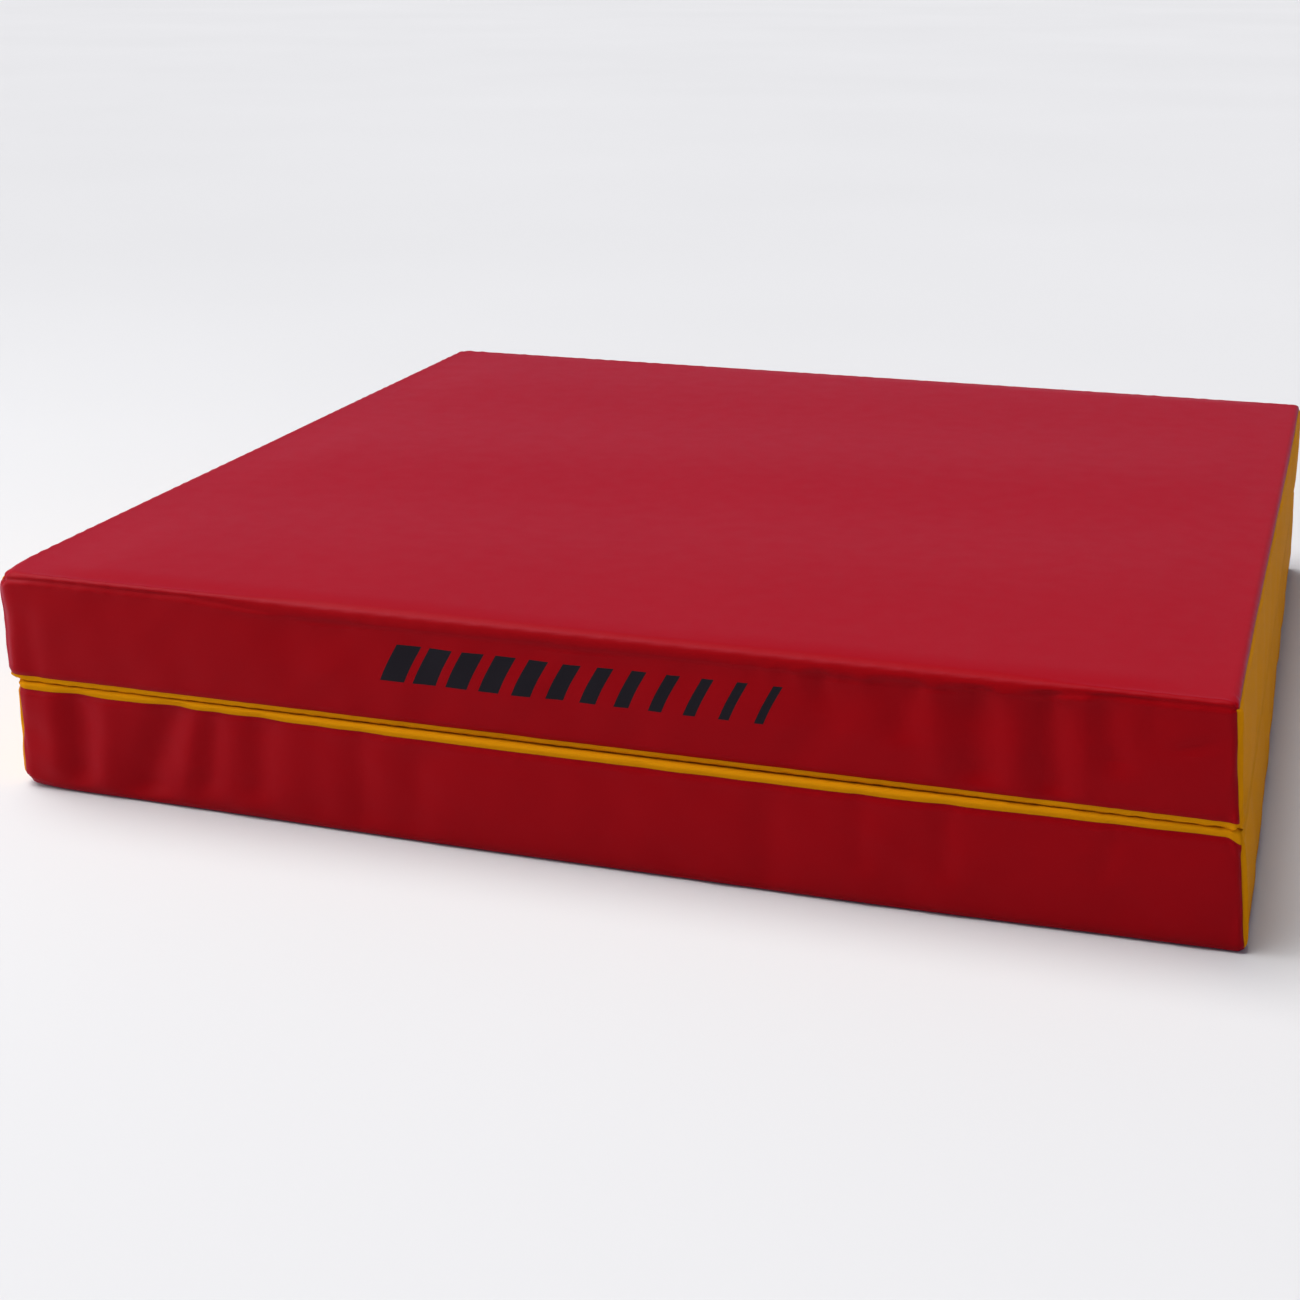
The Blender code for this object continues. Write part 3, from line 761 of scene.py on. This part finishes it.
def let_walls_settle(panel, lines, patches, heights, quads):
    """How far each point of the cover moves when the walls' slack cloth settles between its seams.

    The cloth is solved on every other grid line, and its moves are carried to the fine grid.
    """
    few = [every_other(line) for line in lines]
    box_points, few_quads, sides, few_patches = box_grid(*few)
    start = shape_panel(box_points, panel)
    on_walls = np.isin(sides, [SIDES.index(wall) for wall in WALLS])
    used, wall_quads = take(start, few_quads, on_walls)
    h = box_points[used, 2]
    held = 1 - smooth(0.004, 0.012, h) * (1 - smooth(THICKNESS - 0.014, THICKNESS - 0.007, h))
    on_back = box_points[used, 1] > BACK_Y - BOX_EDGE
    by_zip = on_back * (1 - smooth(0.012, 0.022, abs(h - ZIP_HEIGHT)))
    settled = run_cloth(start[used], wall_quads, np.maximum(held, by_zip), f"{panel.name}_slack_walls")
    move = np.zeros_like(start)
    move[used] = settled - start[used]
    length = np.linalg.norm(move, axis=1, keepdims=True)
    move *= MOST_MOVE * np.tanh(length / MOST_MOVE) / np.maximum(length, 1e-9)
    field = np.zeros((len(heights), 3))
    for side, (us, vs, number) in patches.items():
        few_us, few_vs, few_number = few_patches[side]
        along, across = between_lines(us, few_us), between_lines(vs, few_vs)
        field[number] = np.einsum("ia,abk,jb->ijk", along, move[few_number], across)
    to_edges = smooth(0.0, 0.006, heights) * (1 - smooth(THICKNESS - 0.006, THICKNESS - 0.0005, heights))
    return even_out(field, quads, SMOOTHING_PASSES) * to_edges[:, None]


# ---------------------------------------------------------------- covers

CLOTH = {
    # region: piece's name, CAD nodes it stands for, material
    "outer": ("outer_cloth", ("outer_sheet",), "red"),
    "inner": ("inner_cloth", ("inner_sheet",), "yellow"),
    "front_wall": ("front_cloth", ("front_wall",), "red"),
    "open_wall": ("open_end_cloth", ("open_end_wall",), "yellow"),
    "back_outer": ("back_outer_cloth", ("back_wall_outer_strip",), "red"),
    "back_inner": ("back_inner_cloth", ("back_wall_inner_strip",), "red"),
}
COVER_STEPS = (0.006, 0.008, 0.0035)  # between grid lines, along x, y and height
FOAM_STEPS = (0.02, 0.02, 0.01)
SEAM_SHADE_REACH = 0.006  # how far from a seam the painted shade reaches


def cover_points(panel):
    """One panel's whole cover: its points on the box and in place, its quads, regions and seams."""
    step_x, step_y, step_h = COVER_STEPS
    marks = (OUTER_SEAM, ZIP_SLOT[0], ZIP_SLOT[1], THICKNESS - INNER_SEAM)
    lines = (
        grid_lines(OPEN_X, HINGE_X, step_x, (HINGE_X - panel.hinge_wrap,)),
        grid_lines(FRONT_Y, BACK_Y, step_y, ()),
        grid_lines(0.0, THICKNESS, step_h, marks),
    )
    box_points, quads, sides, patches = box_grid(*lines)
    region = find_region(box_points[quads].mean(axis=1), sides, panel)
    soft = shape_panel(box_points, panel)
    soft = soft + let_walls_settle(panel, lines, patches, box_points[:, 2], quads)
    distance = seam_distance(box_points, quads, region)
    sewn = sew(soft, box_points, quads, distance, panel)
    world = settle(sewn, panel)
    if panel.direction < 0:
        quads = quads[:, ::-1]
    return box_points, world, quads, region, distance


def add_foam(panel):
    """The foam block, soft at its edges, just inside the cover."""
    low = np.array((OPEN_X, FRONT_Y, 0.0)) + FOAM_INSET
    high = np.array((HINGE_X, BACK_Y, THICKNESS)) - FOAM_INSET
    lines = [grid_lines(a, b, step, ()) for a, b, step in zip(low, high, FOAM_STEPS)]
    points, quads, _, _ = box_grid(*lines)
    for a, b in ((Y, Z), (X, Z), (X, Y)):
        for side_a in (-1, 1):
            for side_b in (-1, 1):
                corner = ((low if side_a < 0 else high)[a], (low if side_b < 0 else high)[b])
                round_edge(points, a, b, corner, (side_a, side_b), FOAM_ROLL)
    if panel.direction < 0:
        quads = quads[:, ::-1]
    foam = make_mesh_object(f"{panel.name}_foam_block", settle(points, panel), quads)
    foam.data.materials.append(MATERIALS["foam"])
    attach(foam, f"{panel.name}_panel")
    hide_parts(f"{panel.name}_foam_core")


def add_cover(panel):
    """The pieces of one cover. Returns its half of the hinge sheet: points, quads, UVs and painted seam
    shade.
    """
    box_points, world, quads, region, distance = cover_points(panel)
    normals = shell_normals(world, quads)
    # closeness to a seam, which the cloth material turns into painted shade
    seam = np.exp(-distance / SEAM_SHADE_REACH)
    for key, (name, nodes, colour) in CLOTH.items():
        used, own = take(world, quads, region == key)
        uvs = flat_place(box_points, key)[used]
        points, own = thicken(world[used], own, normals[used])
        shading = np.concatenate([normals[used], -normals[used]])
        uvs, own_seam = np.tile(uvs, (2, 1)), np.tile(seam[used], 2)
        piece = make_mesh_object(f"{panel.name}_{name}", points, own, uvs, own_seam, shading)
        printed = panel.direction < 0 and key == "front_wall"
        piece.data.materials.append(MATERIALS["printed_red" if printed else colour])
        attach(piece, f"{panel.name}_panel")
        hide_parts(*(f"{panel.name}_{node}" for node in nodes))
    used, own = take(world, quads, region == "hinge_wall")
    uvs = flat_place(box_points, "hinge_wall")[used]
    uvs[:, 1] = panel.outer_z + panel.direction * uvs[:, 1]
    return world[used], own, uvs, seam[used]


def weld(points, quads, values):
    """Join points that lie in the same place, within a tenth of a millimetre."""
    _, first, same = np.unique(np.round(points, 4), axis=0, return_index=True, return_inverse=True)
    return points[first], same.ravel()[quads], [value[first] for value in values]


def add_hinge_sheet(halves):
    """One sheet over both panels at the hinge, made from both halves welded where they meet."""
    points, quads, uvs, seams = zip(*halves)
    quads = [quads[0], quads[1] + len(points[0])]
    points, quads, uvs, seams = (np.concatenate(both) for both in (points, quads, uvs, seams))
    points, quads, (uvs, seams) = weld(points, quads, (uvs, seams))
    solid, quads = thicken(points, quads, shell_normals(points, quads))
    sheet = make_mesh_object("hinge_cloth", solid, quads, np.tile(uvs, (2, 1)), np.tile(seams, 2))
    sheet.data.materials.append(MATERIALS["yellow"])
    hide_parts("lower_hinge_wall", "upper_hinge_wall")
    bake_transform(sheet)


# ---------------------------------------------------------------- zips

COIL_PITCH = 0.0017
WIRE_RADIUS = 0.00036
WIRE_SIDES = 4
COIL_STEPS = 8  # to a turn
STITCH_LENGTH = 0.0030
STITCH_SPACING = 0.0042
STITCH_FROM_EDGE = 0.0030
THREAD_RADIUS = 0.00022
STITCH_RINGS = 5
STITCH_SIDES = 5
STITCH_END_GAP = 0.003  # from the end of the tape to the first stitch
STITCH_RISE = 0.00015  # how far a stitch's middle stands off the wall
METAL_BEVEL = 0.0003


def tube_points(centres, across, upward, radius, sides):
    """Rings of points round a line: centres and two directions are arrays of vectors."""
    angles = np.arange(sides) * 2 * math.pi / sides
    cosines, sines = np.cos(angles)[None, :, None], np.sin(angles)[None, :, None]
    ring = cosines * across[:, None, :] + sines * upward[:, None, :]
    return centres[:, None, :] + ring * np.reshape(radius, (-1, 1, 1))


def tube_quads(rings, sides):
    """The quads between rings of points, in the order that tube_points gives them."""
    number = np.arange(rings * sides).reshape(rings, sides)
    turned = np.roll(number, -1, axis=1)
    corners = (number[:-1], turned[:-1], turned[1:], number[1:])
    return np.stack([c.ravel() for c in corners], axis=1)


def add_coil(node):
    """A nylon coil: one wire wound along x, in the place of the frame's plain bar."""
    low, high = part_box(node)
    middle = (low + high) / 2
    turns = round((high.x - low.x) / COIL_PITCH)
    angle = np.linspace(0, 2 * math.pi * turns, turns * COIL_STEPS + 1)
    reach_y = (high.y - low.y) / 2 - WIRE_RADIUS
    reach_z = (high.z - low.z) / 2 - WIRE_RADIUS
    x = np.linspace(low.x + WIRE_RADIUS, high.x - WIRE_RADIUS, len(angle))
    out = np.stack([np.zeros_like(angle), np.cos(angle), np.sin(angle)], axis=1)
    y = middle.y + reach_y * np.cos(angle)
    z = middle.z + reach_z * np.sin(angle)
    centres = np.stack([x, y, z], axis=1)
    along = np.tile((1.0, 0.0, 0.0), (len(angle), 1))
    points = tube_points(centres, along, out, WIRE_RADIUS, WIRE_SIDES).reshape(-1, 3)
    coil = make_mesh_object(f"{node}_wire", points, tube_quads(len(angle), WIRE_SIDES)[:, ::-1])
    coil.data.materials.append(MATERIALS["coil"])
    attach(coil, f"{node.split('_')[0]}_panel")
    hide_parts(node)


def add_stitching(panel):
    """Two rows of stitches that hold the zip, one on each side of its slot."""
    rows = (ZIP_SLOT[0] - STITCH_FROM_EDGE, ZIP_SLOT[1] + STITCH_FROM_EDGE)
    shares = np.linspace(-1, 1, STITCH_RINGS)
    radius = THREAD_RADIUS * np.array((0.35, 0.9, 1.0, 0.9, 0.35))
    across = np.tile((0.0, 0.0, 1.0), (STITCH_RINGS, 1))
    outward = np.tile((0.0, 1.0, 0.0), (STITCH_RINGS, 1))
    zip_low, zip_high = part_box(f"{panel.name}_zip_outer_tape")
    points, quads, start = [], [], 0
    for h in rows:
        z = panel.outer_z + panel.direction * h
        for x in np.arange(zip_low.x + STITCH_END_GAP, zip_high.x - STITCH_END_GAP, STITCH_SPACING):
            y = BACK_Y + STITCH_RISE - 2 * STITCH_RISE * shares ** 2  # its ends go into the cloth
            centres = np.stack([x + shares * STITCH_LENGTH / 2, y, np.full(STITCH_RINGS, z)], axis=1)
            points.append(tube_points(centres, across, outward, radius, STITCH_SIDES).reshape(-1, 3))
            quads.append(tube_quads(STITCH_RINGS, STITCH_SIDES) + start)
            start += STITCH_RINGS * STITCH_SIDES
    name = f"{panel.name}_zip_stitching"
    stitching = make_mesh_object(name, np.concatenate(points), np.concatenate(quads))
    stitching.data.materials.append(MATERIALS["tape"])
    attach(stitching, f"{panel.name}_panel")


def dress_frame_nodes():
    """Better materials for the zip's tapes and metal, and soft edges for the metal."""
    for name, node in frame["nodes"].items():
        is_metal = any(word in name for word in ("slider", "pull", "stop"))
        if not (is_metal or "tape" in name):
            continue
        node.data.materials.clear()
        node.data.materials.append(MATERIALS["metal" if is_metal else "tape"])
        if is_metal:
            edge = node.modifiers.new("soft_edges", "BEVEL")
            edge.width = METAL_BEVEL
            edge.segments = 2


# ---------------------------------------------------------------- stage

FLOOR_SIZE = 300
FLOOR_DROP = 0.0002  # below the mat's underside, so that the two don't share a plane


def floor_paper():
    material, tree, shader = new_material("pale_floor")
    place = add_node(tree, "ShaderNodeTexCoord").outputs["Object"]
    tone = ramp_node(tree, noise_node(tree, place, 0.6, 2.0), ((0.3, (0.64,) * 3), (0.7, (0.66,) * 3)))
    tree.links.new(tone, shader.inputs["Base Color"])
    shader.inputs["Roughness"].default_value = 0.9
    shader.inputs["Specular IOR Level"].default_value = 0.1
    return material


def add_stage():
    bpy.ops.mesh.primitive_plane_add(size=FLOOR_SIZE, location=(0, 0, -FLOOR_DROP))
    floor = bpy.context.object
    floor.name = "floor"
    floor.data.materials.append(floor_paper())


def add_light(name, place, target, size, power):
    light = bpy.data.lights.new(name, "AREA")
    light.shape = "RECTANGLE"
    light.size, light.size_y = size
    light.energy = power
    lamp = bpy.data.objects.new(name, light)
    bpy.context.scene.collection.objects.link(lamp)
    lamp.location = place
    lamp.rotation_euler = (Vector(target) - Vector(place)).to_track_quat("-Z", "Y").to_euler()


def add_sun(name, direction, strength, spread, colour):
    sun = bpy.data.lights.new(name, "SUN")
    sun.energy = strength
    sun.angle = math.radians(spread)
    sun.color = colour
    lamp = bpy.data.objects.new(name, sun)
    bpy.context.scene.collection.objects.link(lamp)
    lamp.rotation_euler = Vector(direction).to_track_quat("-Z", "Y").to_euler()


SKY = (
    # height as a share of straight up, and colour
    (0.0, (0.9, 0.9, 0.9)),
    (0.10, (0.9, 0.9, 0.9)),
    (0.22, (0.14, 0.16, 0.28)),
    (1.0, (0.2, 0.2, 0.2)),
)


def add_studio():
    """A pale sky that is dimmer above, a broad sun from overhead, and a soft light from the left."""
    scene = bpy.context.scene
    world = bpy.data.worlds.new("studio")
    world.use_nodes = True
    tree = world.node_tree
    background = tree.nodes["Background"]
    split = add_node(tree, "ShaderNodeSeparateXYZ")
    tree.links.new(add_node(tree, "ShaderNodeTexCoord").outputs["Generated"], split.inputs[0])
    tree.links.new(ramp_node(tree, split.outputs["Z"], SKY), background.inputs["Color"])
    scene.world = world
    add_sun("overhead", direction=(0.45, -0.02, -1.0), strength=3.7, spread=50, colour=(1.0, 0.99, 0.98))
    add_light("from_the_left", (-2.3, -1.1, 0.8), target=(-0.2, -0.5, 0.1), size=(0.8, 0.6), power=16)
    scene.view_settings.view_transform = "Standard"
    scene.view_settings.look = "None"


def add_camera():
    """The photograph's viewpoint: 19 degrees above the mat, turned 18 degrees from its front."""
    camera = bpy.data.cameras.new("camera")
    camera.sensor_width = 36.0
    camera.lens = 58.69
    eye = bpy.data.objects.new("camera", camera)
    bpy.context.scene.collection.objects.link(eye)
    eye.location = (0.5271, -1.9335, 0.7069)
    eye.rotation_euler = (math.radians(90 - 19.18), 0, math.radians(18.05))
    bpy.context.scene.camera = eye


for panel in PANELS:
    add_foam(panel)
halves = [add_cover(panel) for panel in PANELS]
for panel in PANELS:
    add_coil(f"{panel.name}_zip_outer_coil")
    add_coil(f"{panel.name}_zip_inner_coil")
    add_stitching(panel)
add_hinge_sheet(halves)
dress_frame_nodes()
add_stage()
add_studio()
add_camera()
